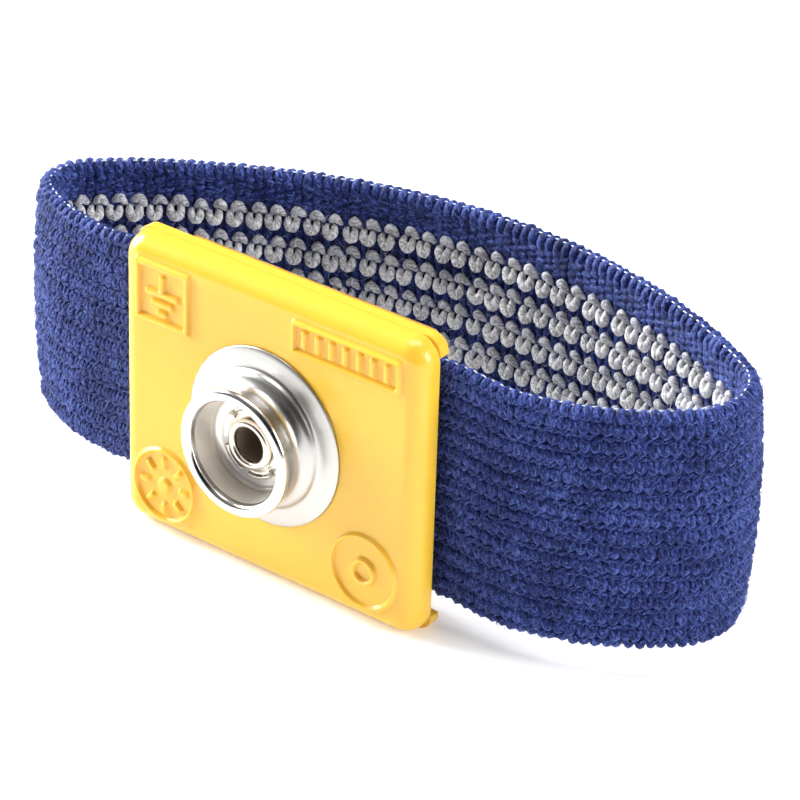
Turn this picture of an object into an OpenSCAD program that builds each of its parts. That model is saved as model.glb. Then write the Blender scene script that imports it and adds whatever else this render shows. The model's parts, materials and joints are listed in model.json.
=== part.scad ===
// Anti-static wrist strap: knitted elastic band, clamped in a moulded buckle with a 10 mm snap stud.
// Millimetres. X runs along the buckle, Y from the stud towards the wrist, Z up across the band.

/* [Buckle] */
// Width of the buckle along the band
buckle_w = 28.2; // [26:0.1:32]
// Height of the buckle across the band
buckle_h = 23.8; // [22:0.1:28]
// Corner radius of the buckle's outline
corner_r = 1.9; // [1.6:0.1:4]
// Rounding of the front cover's edges
edge_r = 1.5; // [0.5:0.1:1.8]
// Depth of the front cover from its face to its rear edge
cover_d = 2.1; // [1.9:0.1:3]
// Wall thickness of the front cover
cover_t = 1.2; // [0.8:0.1:1.5]
// Height of the raised marks on the front face
mark_t = 0.3; // [0.1:0.02:0.4]

/* [Rear cover] */
// Height of the side slot that the band passes through
slot_h = 19.8; // [19.5:0.1:20.5]
// Depth at which the corner ears end
ear_d = 3.1; // [2.9:0.1:3.4]
// Length of the rear step along the band
step_w = 24; // [23:0.1:25]
// Height of the rear step across the band
step_h = 21.3; // [21:0.1:21.6]
// Depth at which the rear step ends
rear_d = 5.3; // [5:0.1:6]

/* [Snap stud] */
// Diameter of the stud's rim
stud_od = 10; // [9.5:0.1:10.5]
// Diameter of the stud's base flange
flange_od = 14.1; // [13:0.1:15]
// Height of the stud above the cover's face
stud_h = 3.75; // [3.4:0.05:4.2]
// Diameter of the hollow rivet's shank
rivet_od = 3.4; // [3.2:0.1:3.6]
// Diameter of the hole through the rivet
rivet_id = 2.7; // [2.2:0.1:2.8]

/* [Skin plate] */
// Length of the stainless plate along the band
plate_w = 25; // [24:0.1:26.4]
// Height of the stainless plate across the band
plate_h = 18.8; // [18:0.1:19.6]
// Thickness of the stainless plate
plate_t = 0.4; // [0.3:0.05:0.6]
// Diameter of the dish that takes the rivet's tail
dish_od = 8.6; // [8:0.1:9]

/* [Band] */
// Width of the knitted fabric
band_w = 18.6; // [16:0.1:19]
// Thickness of the knitted fabric without the conductive yarns
band_t = 1.3; // [1.2:0.05:1.5]
// Height of the conductive yarns above the inner face
yarn_t = 0.35; // [0.2:0.05:0.5]
// Width of one row of conductive yarn
yarn_w = 1.7; // [1:0.1:2]
// Spacing of the conductive rows
yarn_pitch = 2.72; // [2.5:0.01:3]
// Width and thickness of one elastic thread
elastic_t = 0.5; // [0.3:0.05:0.6]
// Depth of the band's outer face behind the buckle's face
band_y = 3.1; // [3:0.05:3.4]
// Height of the clear yarn along each edge
edge_yarn = 0.25; // [0.15:0.05:0.4]

/* [Loop shape] */
// Half length of the straight front part
front_half = 16.5; // [15:0.1:18]
// Radius of the left front curve
left_front_r = 20.7; // [15:0.1:25]
// Radius of the right front curve
right_front_r = 20; // [15:0.1:25]
// Radius of the tight bend on the left
left_bend_r = 3.4; // [3:0.1:6]
// Radius of the tight bend on the right
right_bend_r = 5.4; // [3:0.1:8]
// Radius of the back curve
back_r = 47.7; // [40:0.1:60]
// Sideways position of the back curve's centre
back_x = 4.8; // [-10:0.1:10]
// Front to back position of the back curve's centre
back_y = -23; // [-40:0.1:-10]
// Half angle of the part of the back curve that moves as one piece
back_half = 28.3; // [20:0.1:28.4]

/* [Hidden] */
$fn = 96;
eps = 0.02;
seam = 0.1;
yellow = [0.96, 0.74, 0.06];
nickel = [0.78, 0.78, 0.76];
steel = [0.66, 0.67, 0.68];
blue = [0.09, 0.13, 0.47];
silver = [0.62, 0.63, 0.63];
clear = [0.85, 0.88, 0.95];
plate_y = band_y + band_t + yarn_t;
dish_y = plate_y - 0.8;
yarn_z = [-2 * yarn_pitch, -yarn_pitch, 0, yarn_pitch, 2 * yarn_pitch];
elastic_z = [-8.3, -2.5 * yarn_pitch, -1.5 * yarn_pitch, -0.5 * yarn_pitch,
    0.5 * yarn_pitch, 1.5 * yarn_pitch, 2.5 * yarn_pitch, 8.3];
grip_x = buckle_w / 2 - 1.7;

// Centres of the loop's arcs; each tight bend touches its front curve and the back curve.
cl = [-front_half, band_y + left_front_r];
cr = [front_half, band_y + right_front_r];
cb = [back_x, back_y];
function bend(c, ra, r, s) =
    let (d = cb - c, n = norm(d), u = d / n, p = ra - r, q = back_r - r)
    let (a = (p * p - q * q + n * n) / (2 * n), h = sqrt(p * p - a * a))
    c + a * u + s * h * [u[1], -u[0]];
function turn(a) = a < 0 ? a + 360 : a;
function aim(a, b) = turn(atan2(b[1] - a[1], b[0] - a[0]));
tl = bend(cl, left_front_r, left_bend_r, 1);
tr = bend(cr, right_front_r, right_bend_r, -1);
right_a = aim(cr, tr);
right_b = aim(cb, tr);
left_b = aim(cb, tl);
left_a = aim(cl, tl);
back_a0 = 90 - back_half;
back_a1 = 90 + back_half;
back_gap = seam / back_r * 180 / PI;

// The row frame: centred on the whole strap, standing on z = 0.
ox = (tl[0] - left_bend_r + tr[0] + right_bend_r) / 2;
oy = (back_y + back_r - stud_h) / 2;

function arc(cx, cy, r, a0, a1, n) = [for (i = [0:n]) [cx + r * cos(a0 + (a1 - a0) * i / n),
    cy + r * sin(a0 + (a1 - a0) * i / n)]];
function rounded(w, h, r, n = 8) = concat(
    arc(w / 2 - r, h / 2 - r, r, 0, 90, n), arc(r - w / 2, h / 2 - r, r, 90, 180, n),
    arc(r - w / 2, r - h / 2, r, 180, 270, n), arc(w / 2 - r, r - h / 2, r, 270, 360, n));
// A cover's section: a rectangle from depth 0 to d, rounded at the front.
function nosed(w, d, r, n = 8) = concat(
    [[w / 2, d], [-w / 2, d]],
    arc(r - w / 2, r, r, 180, 270, n), arc(w / 2 - r, r, r, 270, 360, n));

// Stands a flat outline (x, z) up so that it runs from y0 to y1.
module upright(y0, y1) {
    translate([0, y1, 0])
        rotate([90, 0, 0])
            linear_extrude(y1 - y0)
                children();
}

// Turns a half profile (radius, distance in front of the cover) about the stud's axis.
module turned() {
    rotate([90, 0, 0])
        rotate_extrude()
            children();
}

module outline(w, h, r, y0, y1) {
    upright(y0, y1) polygon(rounded(w, h, r));
}

module ring_mark(x, z, r, w) {
    translate([x, 0.05, z])
        rotate([90, 0, 0])
            difference() {
                cylinder(h = mark_t + 0.05, r = r);
                translate([0, 0, -1]) cylinder(h = 3, r = r - w);
            }
}

module bar_mark(x, z, w, h) {
    translate([x - w / 2, -mark_t, z - h / 2]) cube([w, mark_t + 0.05, h]);
}

module frame_mark(x, z, w, h, t) {
    difference() {
        bar_mark(x, z, w, h);
        translate([x - w / 2 + t, -1, z - h / 2 + t]) cube([w - 2 * t, 3, h - 2 * t]);
    }
}

// Generic raised marks: an earth symbol in a square, a ribbed plaque, a dial and a ringed dot.
module marks() {
    frame_mark(-9.85, 8, 5.2, 4.9, 0.45);
    bar_mark(-9.85, 8.9, 0.5, 1.4);
    bar_mark(-9.85, 8.1, 3.2, 0.5);
    bar_mark(-9.85, 7.3, 2.1, 0.5);
    bar_mark(-9.85, 6.5, 1.0, 0.5);
    frame_mark(7.4, 9.1, 9.8, 2.5, 0.3);
    for (i = [-3:3]) bar_mark(7.4 + i * 1.25, 9.1, 0.5, 1.4);
    ring_mark(-9.7, -7.8, 3.05, 0.3);
    ring_mark(-9.7, -7.8, 0.6, 0.6);
    for (a = [0:45:315])
        translate([-9.7, 0, -7.8])
            rotate([0, a, 0])
                bar_mark(0, 1.9, 0.45, 0.9);
    ring_mark(9.5, -7.6, 3, 0.22);
    ring_mark(9.5, -7.6, 1.1, 0.4);
}

module front_cover() {
    color(yellow) difference() {
        union() {
            intersection() {
                outline(buckle_w, buckle_h, corner_r, 0, cover_d);
                translate([0, 0, -20]) linear_extrude(40) polygon(nosed(buckle_w, cover_d, edge_r));
                rotate([90, 0, 90])
                    translate([0, 0, -20])
                        linear_extrude(40)
                            polygon([for (p = nosed(buckle_h, cover_d, edge_r)) [p[1], p[0]]]);
            }
            marks();
        }
        outline(buckle_w - 2 * cover_t, buckle_h - 2 * cover_t, 1.2, cover_t, cover_d + 1);
        rotate([90, 0, 0]) translate([0, 0, -5]) cylinder(h = 10, d = rivet_od + 0.1);
    }
}

module rail(s) {
    difference() {
        outline(buckle_w, buckle_h, 1.2, cover_d + eps, ear_d);
        translate([-30, -1, s > 0 ? 10.5 - 60 : -10.5]) cube([60, 20, 60]);
    }
    difference() {
        outline(step_w, step_h, 1, ear_d - 0.5, rear_d);
        translate([-30, -1, s > 0 ? slot_h / 2 - 60 : -slot_h / 2]) cube([60, 20, 60]);
    }
}

// Top and bottom rails with four corner ears, joined by a web that fills the front cover.
module rear_cover() {
    web_w = buckle_w - 2 * cover_t - 0.1;
    web_h = buckle_h - 2 * cover_t - 0.1;
    color(yellow) difference() {
        union() {
            rail(1);
            rail(-1);
            outline(web_w, web_h, 1.2, cover_t + eps, band_y - 0.3);
            rotate([90, 0, 0]) translate([0, 0, -dish_y]) cylinder(h = dish_y - 2, d = dish_od - 1.6);
            for (x = [-9.2, 9.2], z = [-6.8, 0, 6.8])
                translate([x, plate_y - eps, z])
                    rotate([90, 0, 0])
                        cylinder(h = 3, d = 1.2);
        }
        rotate([90, 0, 0]) translate([0, 0, -10]) cylinder(h = 20, d = rivet_od + 0.1);
    }
}

module snap_stud() {
    r = stud_od / 2;
    f = flange_od / 2;
    color(nickel) turned() difference() {
        polygon(concat(
            [[rivet_od / 2 + 0.05, 0], [f, 0], [f, 0.22]],
            [[f - 0.12, 0.34], [5.75, 0.58], [5.5, 0.56], [5.32, 0.66]],
            arc(4.62, 0.84, 0.66, 0, 78, 6),
            arc(4.62, 2.06, 0.56, 262, 118, 8),
            [[4.62, 2.62], [r, 2.74], [r, stud_h - 0.36]],
            arc(r - 0.36, stud_h - 0.36, 0.36, 20, 90, 4),
            arc(r - 0.6, stud_h - 0.36, 0.36, 90, 180, 5),
            [[3.82, 2.9], [3.62, 2.3], [3.56, 1.5]],
            arc(3.2, 1.36, 0.36, 0, -90, 4),
            [[rivet_od / 2 + 0.05, 1]]));
        translate([-1, -1]) square([1, 6]);
    }
}

// Internal-tooth lock washer under the rivet's rolled head.
module star_washer() {
    color(nickel) rotate([90, 0, 0]) translate([0, 0, 1 + eps]) difference() {
        cylinder(h = 0.3, r = 2.85);
        translate([0, 0, -1]) cylinder(h = 3, r = rivet_od / 2 + 0.05);
        for (a = [0:60:300])
            rotate([0, 0, a + 15])
                translate([2.35, -0.25, -1])
                    cube([2, 0.5, 3]);
    }
}

module hollow_rivet() {
    s = rivet_od / 2;
    b = rivet_id / 2;
    color(nickel) turned() polygon(concat(
        [[b, -plate_y + 0.1], [b, 1.7]],
        arc(b + 0.3, 1.7, 0.3, 180, 90, 4),
        arc(b + 0.32, 1.68, 0.32, 90, -20, 6),
        [[b + 0.55, 1.32 + eps], [s, 1.32 + eps], [s, -dish_y - plate_t - eps]],
        [[3, -dish_y - plate_t - eps], [3, -plate_y - 0.1]],
        [[b + 0.3, -plate_y - 0.1]]));
}

// Stainless plate against the wrist, dished in the middle for the rivet's tail.
module skin_plate() {
    color(steel) difference() {
        union() {
            outline(plate_w, plate_h, 1, plate_y, plate_y + plate_t);
            rotate([90, 0, 0]) translate([0, 0, -plate_y - plate_t]) cylinder(h = 0.8 + plate_t, d = dish_od);
        }
        rotate([90, 0, 0]) translate([0, 0, -plate_y - 2]) cylinder(h = 2.8 - plate_t, d = dish_od - 2 * plate_t);
        rotate([90, 0, 0]) translate([0, 0, -10]) cylinder(h = 20, d = rivet_od + 0.1);
    }
}

// Outer face of each free span as [x, y, unit normal towards the wrist].
function walk(c, r, a0, a1, n) = [for (i = [0:n]) let (a = a0 + (a1 - a0) * i / n)
    [c[0] + r * cos(a), c[1] + r * sin(a), -cos(a), -sin(a)]];
left_path = concat([[-grip_x - seam, band_y, 0, 1]], walk(cl, left_front_r, 270, left_a, 8),
    walk(tl, left_bend_r, left_a - 12, left_b, 10), walk(cb, back_r, left_b - 2, back_a1 + back_gap, 5));
right_path = concat([[grip_x + seam, band_y, 0, 1]], walk(cr, right_front_r, -90, right_a - 360, 9),
    walk(tr, right_bend_r, right_a - 352, right_b, 12),
    walk(cb, back_r, right_b + 0.2, back_a0 - back_gap, 1));

// The strip between depths t0 and t1 below the outer face, seen along Z; e lengthens both ends.
function inset(p, t, e = 0) =
    let (n = len(p) - 1, d0 = p[0] - p[1], d1 = p[n] - p[n - 1])
    let (m0 = norm([d0[0], d0[1]]), m1 = norm([d1[0], d1[1]]))
    [for (i = [0:n])
        let (k = i == 0 ? e / m0 : 0, l = i == n ? e / m1 : 0)
        [p[i][0] + t * p[i][2] + k * d0[0] + l * d1[0], p[i][1] + t * p[i][3] + k * d0[1] + l * d1[1]]];
function backwards(v) = [for (i = [len(v) - 1:-1:0]) v[i]];

module strip(p, t0, t1, z0, z1, e = 0) {
    translate([0, 0, z0])
        linear_extrude(z1 - z0)
            polygon(concat(inset(p, t0, e), backwards(inset(p, t1, e))));
}

module fabric(p) {
    difference() {
        strip(p, 0, band_t, -band_w / 2, band_w / 2);
        for (z = elastic_z)
            strip(p, 0.4, 0.4 + elastic_t, z - elastic_t / 2, z + elastic_t / 2, 1);
    }
}

module elastic(p) {
    for (z = elastic_z)
        strip(p, 0.4 + eps, 0.4 + elastic_t - eps, z - elastic_t / 2 + eps, z + elastic_t / 2 - eps);
}

module yarns(p) {
    for (z = yarn_z)
        strip(p, band_t + eps, band_t + yarn_t, z - yarn_w / 2, z + yarn_w / 2);
}

module edging(p, s) {
    z = s > 0 ? band_w / 2 + eps : -band_w / 2 - edge_yarn;
    strip(p, 0.4, 0.9, z, z + edge_yarn - eps);
}

// One length of the back curve: depths t0 to t1, heights z0 to z1.
module back_run(t0, t1, z0, z1) {
    translate([back_x, back_y, 0])
        rotate([0, 0, back_a0])
            rotate_extrude(angle = back_a1 - back_a0)
                translate([back_r - t1, z0])
                    square([t1 - t0, z1 - z0]);
}

module back_fabric() {
    translate([back_x, back_y, 0])
        rotate([0, 0, back_a0])
            rotate_extrude(angle = back_a1 - back_a0)
                difference() {
                    translate([back_r - band_t, -band_w / 2]) square([band_t, band_w]);
                    for (z = elastic_z)
                        translate([back_r - 0.4 - elastic_t, z - elastic_t / 2])
                            square([elastic_t, elastic_t]);
                }
}

module end_fabric(s) {
    x0 = s > 0 ? dish_od / 2 + 0.6 : -grip_x;
    x1 = s > 0 ? grip_x : -dish_od / 2 - 0.6;
    difference() {
        translate([x0, band_y - 0.3 + eps, -band_w / 2]) cube([x1 - x0, band_t + 0.3 - eps, band_w]);
        for (z = [-6.8, 0, 6.8])
            translate([s * 9.2, 10, z])
                rotate([90, 0, 0])
                    cylinder(h = 20, d = 1.2 + 2 * eps);
    }
}

module end_yarns(s) {
    x0 = s > 0 ? dish_od / 2 + 0.6 : -grip_x;
    x1 = s > 0 ? grip_x : -dish_od / 2 - 0.6;
    difference() {
        for (z = yarn_z)
            translate([x0, band_y + band_t + eps, z - yarn_w / 2])
                cube([x1 - x0, yarn_t - 2 * eps, yarn_w]);
        for (z = [-6.8, 0, 6.8])
            translate([s * 9.2, 10, z])
                rotate([90, 0, 0])
                    cylinder(h = 20, d = 1.2 + 2 * eps);
    }
}

module band_end_left() { color(blue) end_fabric(-1); }
module band_end_right() { color(blue) end_fabric(1); }
module yarn_end_left() { color(silver) end_yarns(-1); }
module yarn_end_right() { color(silver) end_yarns(1); }
module band_side_left() { color(blue) fabric(left_path); }
module band_side_right() { color(blue) fabric(right_path); }
module yarn_side_left() { color(silver) yarns(left_path); }
module yarn_side_right() { color(silver) yarns(right_path); }
module elastic_side_left() { color(clear) elastic(left_path); }
module elastic_side_right() { color(clear) elastic(right_path); }
module edge_top_left() { color(clear) edging(left_path, 1); }
module edge_top_right() { color(clear) edging(right_path, 1); }
module edge_bottom_left() { color(clear) edging(left_path, -1); }
module edge_bottom_right() { color(clear) edging(right_path, -1); }
module band_back() { color(blue) back_fabric(); }
module yarn_back() {
    color(silver)
        for (z = yarn_z)
            back_run(band_t + eps, band_t + yarn_t, z - yarn_w / 2, z + yarn_w / 2);
}
module elastic_back() {
    color(clear)
        for (z = elastic_z)
            back_run(0.4 + eps, 0.4 + elastic_t - eps, z - elastic_t / 2 + eps, z + elastic_t / 2 - eps);
}
module edge_top_back() { color(clear) back_run(0.4, 0.9, band_w / 2 + eps, band_w / 2 + edge_yarn); }
module edge_bottom_back() { color(clear) back_run(0.4, 0.9, -band_w / 2 - edge_yarn, -band_w / 2 - eps); }

translate([-ox, -oy, buckle_h / 2]) {
    front_cover();
    rear_cover();
    snap_stud();
    star_washer();
    hollow_rivet();
    skin_plate();
    band_end_left();
    band_end_right();
    yarn_end_left();
    yarn_end_right();
    band_side_left();
    band_side_right();
    yarn_side_left();
    yarn_side_right();
    elastic_side_left();
    elastic_side_right();
    edge_top_left();
    edge_top_right();
    edge_bottom_left();
    edge_bottom_right();
    band_back();
    yarn_back();
    elastic_back();
    edge_top_back();
    edge_bottom_back();
}
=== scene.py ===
"""Anti-static wrist strap, built around the CAD frame.

A band knitted yarn by yarn, a moulded yellow buckle and a nickel snap stud.
"""

import json
import math

import bmesh
import bpy
import numpy as np
from mathutils import Matrix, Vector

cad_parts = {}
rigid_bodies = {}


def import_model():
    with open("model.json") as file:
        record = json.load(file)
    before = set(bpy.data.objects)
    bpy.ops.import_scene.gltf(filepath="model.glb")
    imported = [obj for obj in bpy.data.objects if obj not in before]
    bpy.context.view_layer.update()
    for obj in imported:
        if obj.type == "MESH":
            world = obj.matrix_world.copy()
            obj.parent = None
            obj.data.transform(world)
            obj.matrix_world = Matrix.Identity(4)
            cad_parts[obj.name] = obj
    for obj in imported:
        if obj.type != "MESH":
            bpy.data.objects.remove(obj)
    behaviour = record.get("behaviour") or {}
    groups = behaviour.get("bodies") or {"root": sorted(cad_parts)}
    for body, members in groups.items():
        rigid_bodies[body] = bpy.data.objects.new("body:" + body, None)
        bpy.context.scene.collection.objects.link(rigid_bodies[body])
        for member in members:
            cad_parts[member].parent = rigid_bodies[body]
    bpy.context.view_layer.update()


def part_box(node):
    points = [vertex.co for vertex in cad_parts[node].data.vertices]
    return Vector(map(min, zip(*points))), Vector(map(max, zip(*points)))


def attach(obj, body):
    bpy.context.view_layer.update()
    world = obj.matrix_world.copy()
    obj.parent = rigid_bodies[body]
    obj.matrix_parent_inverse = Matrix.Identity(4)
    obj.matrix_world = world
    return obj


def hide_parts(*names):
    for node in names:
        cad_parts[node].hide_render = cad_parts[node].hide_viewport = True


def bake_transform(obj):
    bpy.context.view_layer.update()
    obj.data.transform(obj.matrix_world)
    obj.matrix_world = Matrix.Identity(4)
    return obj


MM = 0.001
TAU = 2 * math.pi
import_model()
rng = np.random.default_rng(7)

# Buckle frame: millimetres from the buckle's centre, y = 0 on its front face, y towards the wrist.
COVER_W, COVER_H, COVER_D, CORNER = 28.2, 23.8, 2.1, 1.9
HOLE_R = 1.75  # round the rivet's shank, in the covers and the plate
_lo, _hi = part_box("front_cover")
ORIGIN = np.array([(_lo[0] + _hi[0]) / 2, _hi[1] - COVER_D * MM, (_lo[2] + _hi[2]) / 2])


def row(p):
    """Buckle millimetres to the row frame in metres."""
    return ORIGIN + np.asarray(p, float) * MM


def unit(v):
    return v / np.maximum(np.linalg.norm(v, axis=-1, keepdims=True), 1e-12)


def linked(name, data):
    """A new object in the scene."""
    ob = bpy.data.objects.new(name, data)
    bpy.context.scene.collection.objects.link(ob)
    return ob


def aimed(right, up, back, at):
    """Matrix of a camera or lamp at a place, looking against back."""
    m = Matrix.Identity(4)
    for i in range(3):
        m[i][0], m[i][1], m[i][2], m[i][3] = right[i], up[i], back[i], at[i]
    return m


# ---------------------------------------------------------------- camera

AZIMUTH, ELEVATION, ROLL = 37.94, 28.52, 1.86  # degrees: the photograph's viewing angle
AIM = (12.27, 0, 7.43)  # what the camera looks at, in buckle millimetres
DISTANCE = 0.2512
LENS, SENSOR = 162.7, 36


def add_camera():
    az, el, roll = (math.radians(a) for a in (AZIMUTH, ELEVATION, ROLL))
    back = np.array([math.sin(az) * math.cos(el), -math.cos(az) * math.cos(el), math.sin(el)])
    right = np.array([math.cos(az), math.sin(az), 0.0])
    up = np.cross(back, right)
    right, up = (
        math.cos(roll) * right + math.sin(roll) * up,
        math.cos(roll) * up - math.sin(roll) * right,
    )
    data = bpy.data.cameras.new("camera")
    data.sensor_width = SENSOR
    data.lens = LENS
    data.clip_start = 0.01
    cam = linked("camera", data)
    cam.matrix_world = aimed(right, up, back, row(AIM) + back * DISTANCE)
    bpy.context.scene.camera = cam


add_camera()

# ---------------------------------------------------------------- meshes


def make_object(name, verts, quads, tris=None, uvs=None, material=None):
    """A smooth mesh object from arrays; verts are in the row frame, uvs one pair per corner."""
    me = bpy.data.meshes.new(name)
    quads = np.asarray(quads, np.int32).reshape(-1, 4)
    tris = np.zeros((0, 3), np.int32) if tris is None else np.asarray(tris, np.int32).reshape(-1, 3)
    me.vertices.add(len(verts))
    me.vertices.foreach_set("co", np.asarray(verts, np.float32).ravel())
    corners = np.concatenate([quads.ravel(), tris.ravel()])
    me.loops.add(len(corners))
    me.loops.foreach_set("vertex_index", corners)
    starts = np.concatenate([np.arange(len(quads)) * 4, len(quads) * 4 + np.arange(len(tris)) * 3])
    me.polygons.add(len(starts))
    me.polygons.foreach_set("loop_start", starts.astype(np.int32))
    me.polygons.foreach_set("use_smooth", np.ones(len(starts), bool))
    if uvs is not None:
        me.uv_layers.new(name="yarn").data.foreach_set("uv", np.asarray(uvs, np.float32).ravel())
    me.update(calc_edges=True)
    me.validate()
    if material is not None:
        me.materials.append(material)
    return linked(name, me)


def grid(a, b):
    """Row and column numbers of a grid's cells, one after another."""
    return (g.ravel() for g in np.meshgrid(np.arange(a), np.arange(b), indexing="ij"))


def tubes(points, radius, ref, sides=6, flat=1.0):
    """K tubes through M points each, as vertices, quads, triangles and corner UVs.

    points and ref are (K, M, 3) and radius is (K, M); flat scales the section along ref.
    """
    k, m, _ = points.shape
    along = unit(np.gradient(points, axis=1))
    across = unit(ref - (ref * along).sum(-1, keepdims=True) * along)
    other = np.cross(along, across)
    ang = TAU * np.arange(sides) / sides
    flat = np.broadcast_to(flat, (k, m))[:, :, None, None]
    ring = (
        np.cos(ang)[:, None] * across[:, :, None, :] * flat + np.sin(ang)[:, None] * other[:, :, None, :]
    ) * radius[:, :, None, None]
    verts = (points[:, :, None, :] + ring).reshape(-1, 3)
    base = (np.arange(k)[:, None, None] * m + np.arange(m - 1)[None, :, None]) * sides
    j = np.arange(sides)[None, None, :]
    j2 = (j + 1) % sides
    quads = np.stack([base + j, base + j2, base + sides + j2, base + sides + j], -1).reshape(-1, 4)
    step = np.linalg.norm(np.diff(points, axis=1), axis=-1)
    u = np.concatenate([np.zeros((k, 1)), np.cumsum(step, 1)], 1) / MM
    u = u + rng.uniform(0, 40, (k, 1))
    u0 = np.repeat(u[:, :-1, None], sides, 2)
    u1 = np.repeat(u[:, 1:, None], sides, 2)
    v0 = np.broadcast_to(j / sides, u0.shape)
    v1 = v0 + 1 / sides
    uvs = np.stack([u0, v0, u0, v1, u1, v1, u1, v0], -1).reshape(-1, 2)
    n = len(verts)
    ends = np.concatenate([points[:, 0], points[:, -1]])
    verts = np.concatenate([verts, ends])
    first = (np.arange(k)[:, None] * m) * sides + np.arange(sides)[None, :]
    last = first + (m - 1) * sides
    nxt = (np.arange(sides) + 1) % sides
    tri0 = np.stack([np.broadcast_to(n + np.arange(k)[:, None], first.shape), first[:, nxt], first], -1)
    tri1 = np.stack([np.broadcast_to(n + k + np.arange(k)[:, None], last.shape), last, last[:, nxt]], -1)
    tris = np.concatenate([tri0.reshape(-1, 3), tri1.reshape(-1, 3)])
    uvs = np.concatenate([uvs, np.zeros((len(tris) * 3, 2))])
    return verts, quads, tris, uvs


def ring_mesh(rings, closed):
    """Quads between successive rings of equal count.

    Closed joins the last ring to the first; otherwise both ends get a fan.
    """
    k, n = len(rings), len(rings[0])
    verts = np.concatenate([np.asarray(r, float) for r in rings])
    i, j = grid(k if closed else k - 1, n)
    i2, j2 = (i + 1) % k, (j + 1) % n
    quads = np.stack([i * n + j, i * n + j2, i2 * n + j2, i2 * n + j], -1)
    tris = np.zeros((0, 3), int)
    if not closed:
        jj = np.arange(n)
        jn = (jj + 1) % n
        last = (k - 1) * n
        verts = np.concatenate([verts, [verts[:n].mean(0), verts[last:].mean(0)]])
        tris = np.concatenate([
            np.stack([np.full(n, k * n), jn, jj], -1),
            np.stack([np.full(n, k * n + 1), last + jj, last + jn], -1),
        ])
    return verts, quads, tris


def resample(points, n):
    """A smooth curve through a few control points (Catmull-Rom), n samples."""
    p = np.vstack([2 * points[0] - points[1], points, 2 * points[-1] - points[-2]])
    x = np.linspace(0, len(points) - 1 - 1e-6, n)
    i = x.astype(int)
    f = (x - i)[:, None]
    a, b, c, d = p[i], p[i + 1], p[i + 2], p[i + 3]
    return 0.5 * (2 * b + (c - a) * f + (2 * a - 5 * b + 4 * c - d) * f * f + (3 * b - a - 3 * c + d) * f**3)


# ---------------------------------------------------------------- the band's path

# Plan of the band's outer face, in buckle millimetres: straight in the grip, then five touching arcs.
BAND_Y, BAND_T = 3.1, 1.3  # where the outer face lies in the buckle, and the fabric's thickness
GRIP_X, FRONT_HALF = 12.5, 16.5  # the free band starts, and the front arcs start
LEFT_FRONT_R, RIGHT_FRONT_R = 20.7, 20.0
LEFT_BEND_R, RIGHT_BEND_R = 3.4, 5.4
BACK_R, BACK_C = 47.7, np.array([4.8, -23.0])
STITCH, ROW = 0.8, 1.36  # one stitch along the band, one row across it
EDGE_Z = 9.4  # half the width of the outer face
PATH_STEP, GRIP_POINTS = 0.05, 80
SOFTENING = 41  # steps over which curvature changes where two arcs meet: 2 mm
# Where the band bows outwards: place and reach, along x in the bends and along y at the back.
LEFT_BOW, RIGHT_BOW, BACK_BOW = (-28, 7), (31, 8), (12, 8)
LEAN, LEAN_Y, DROP = 0.042, 6, 0.32  # rise per millimetre behind LEAN_Y, less a drop all round


def bend_centre(c, front_r, bend_r, side):
    """Centre of the tight arc that touches a front curve and the back curve."""
    d = BACK_C - c
    n = np.linalg.norm(d)
    u = d / n
    p, q = front_r - bend_r, BACK_R - bend_r
    a = (p * p - q * q + n * n) / (2 * n)
    return c + a * u + side * math.sqrt(p * p - a * a) * np.array([u[1], -u[0]])


def build_path():
    """Outer face of the band from the right slot round to the left: arc length, x and y, inward normal."""
    cl = np.array([-FRONT_HALF, BAND_Y + LEFT_FRONT_R])
    cr = np.array([FRONT_HALF, BAND_Y + RIGHT_FRONT_R])
    tl = bend_centre(cl, LEFT_FRONT_R, LEFT_BEND_R, 1)
    tr = bend_centre(cr, RIGHT_FRONT_R, RIGHT_BEND_R, -1)

    def aim(a, b):
        return math.atan2(b[1] - a[1], b[0] - a[0]) % TAU

    def straight(x):
        return np.stack([x, np.full(GRIP_POINTS, BAND_Y)], 1)

    arcs = [
        (cr, RIGHT_FRONT_R, -TAU / 4, aim(cr, tr) - TAU),
        (tr, RIGHT_BEND_R, aim(cr, tr) - TAU, aim(BACK_C, tr)),
        (BACK_C, BACK_R, aim(BACK_C, tr), aim(BACK_C, tl)),
        (tl, LEFT_BEND_R, aim(BACK_C, tl), aim(cl, tl)),
        (cl, LEFT_FRONT_R, aim(cl, tl), TAU * 0.75),
    ]
    turn = [np.full(GRIP_POINTS, -TAU / 4)]
    pts = [straight(np.linspace(GRIP_X, FRONT_HALF, GRIP_POINTS, endpoint=False))]
    for c, r, a0, a1 in arcs:
        n = max(8, int(abs(a1 - a0) * r / PATH_STEP))
        a = np.linspace(a0, a1, n, endpoint=False)
        pts.append(c + r * np.stack([np.cos(a), np.sin(a)], 1))
        turn.append(a)
    pts.append(straight(np.linspace(-FRONT_HALF, -GRIP_X, GRIP_POINTS)))
    turn.append(np.full(GRIP_POINTS, TAU * 0.75))
    pts, turn = np.concatenate(pts), np.concatenate(turn)
    s = np.concatenate([[0], np.cumsum(np.linalg.norm(np.diff(pts, axis=0), axis=1))])
    even = np.arange(0, s[-1], PATH_STEP)
    turn = np.interp(even, s, turn)
    kernel = np.hanning(SOFTENING + 2)[1:-1]
    turn = np.convolve(np.pad(turn, SOFTENING // 2, "edge"), kernel / kernel.sum(), "valid")
    xy = np.stack([np.interp(even, s, pts[:, 0]), np.interp(even, s, pts[:, 1])], 1)
    return even, xy, -np.stack([np.cos(turn), np.sin(turn)], 1)


PATH_S, PATH_XY, PATH_N = build_path()
LENGTH = PATH_S[-1]


def on_path(s, table):
    """The two columns of a path table at arc length s."""
    return np.interp(s, PATH_S, table[:, 0]), np.interp(s, PATH_S, table[:, 1])


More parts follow.
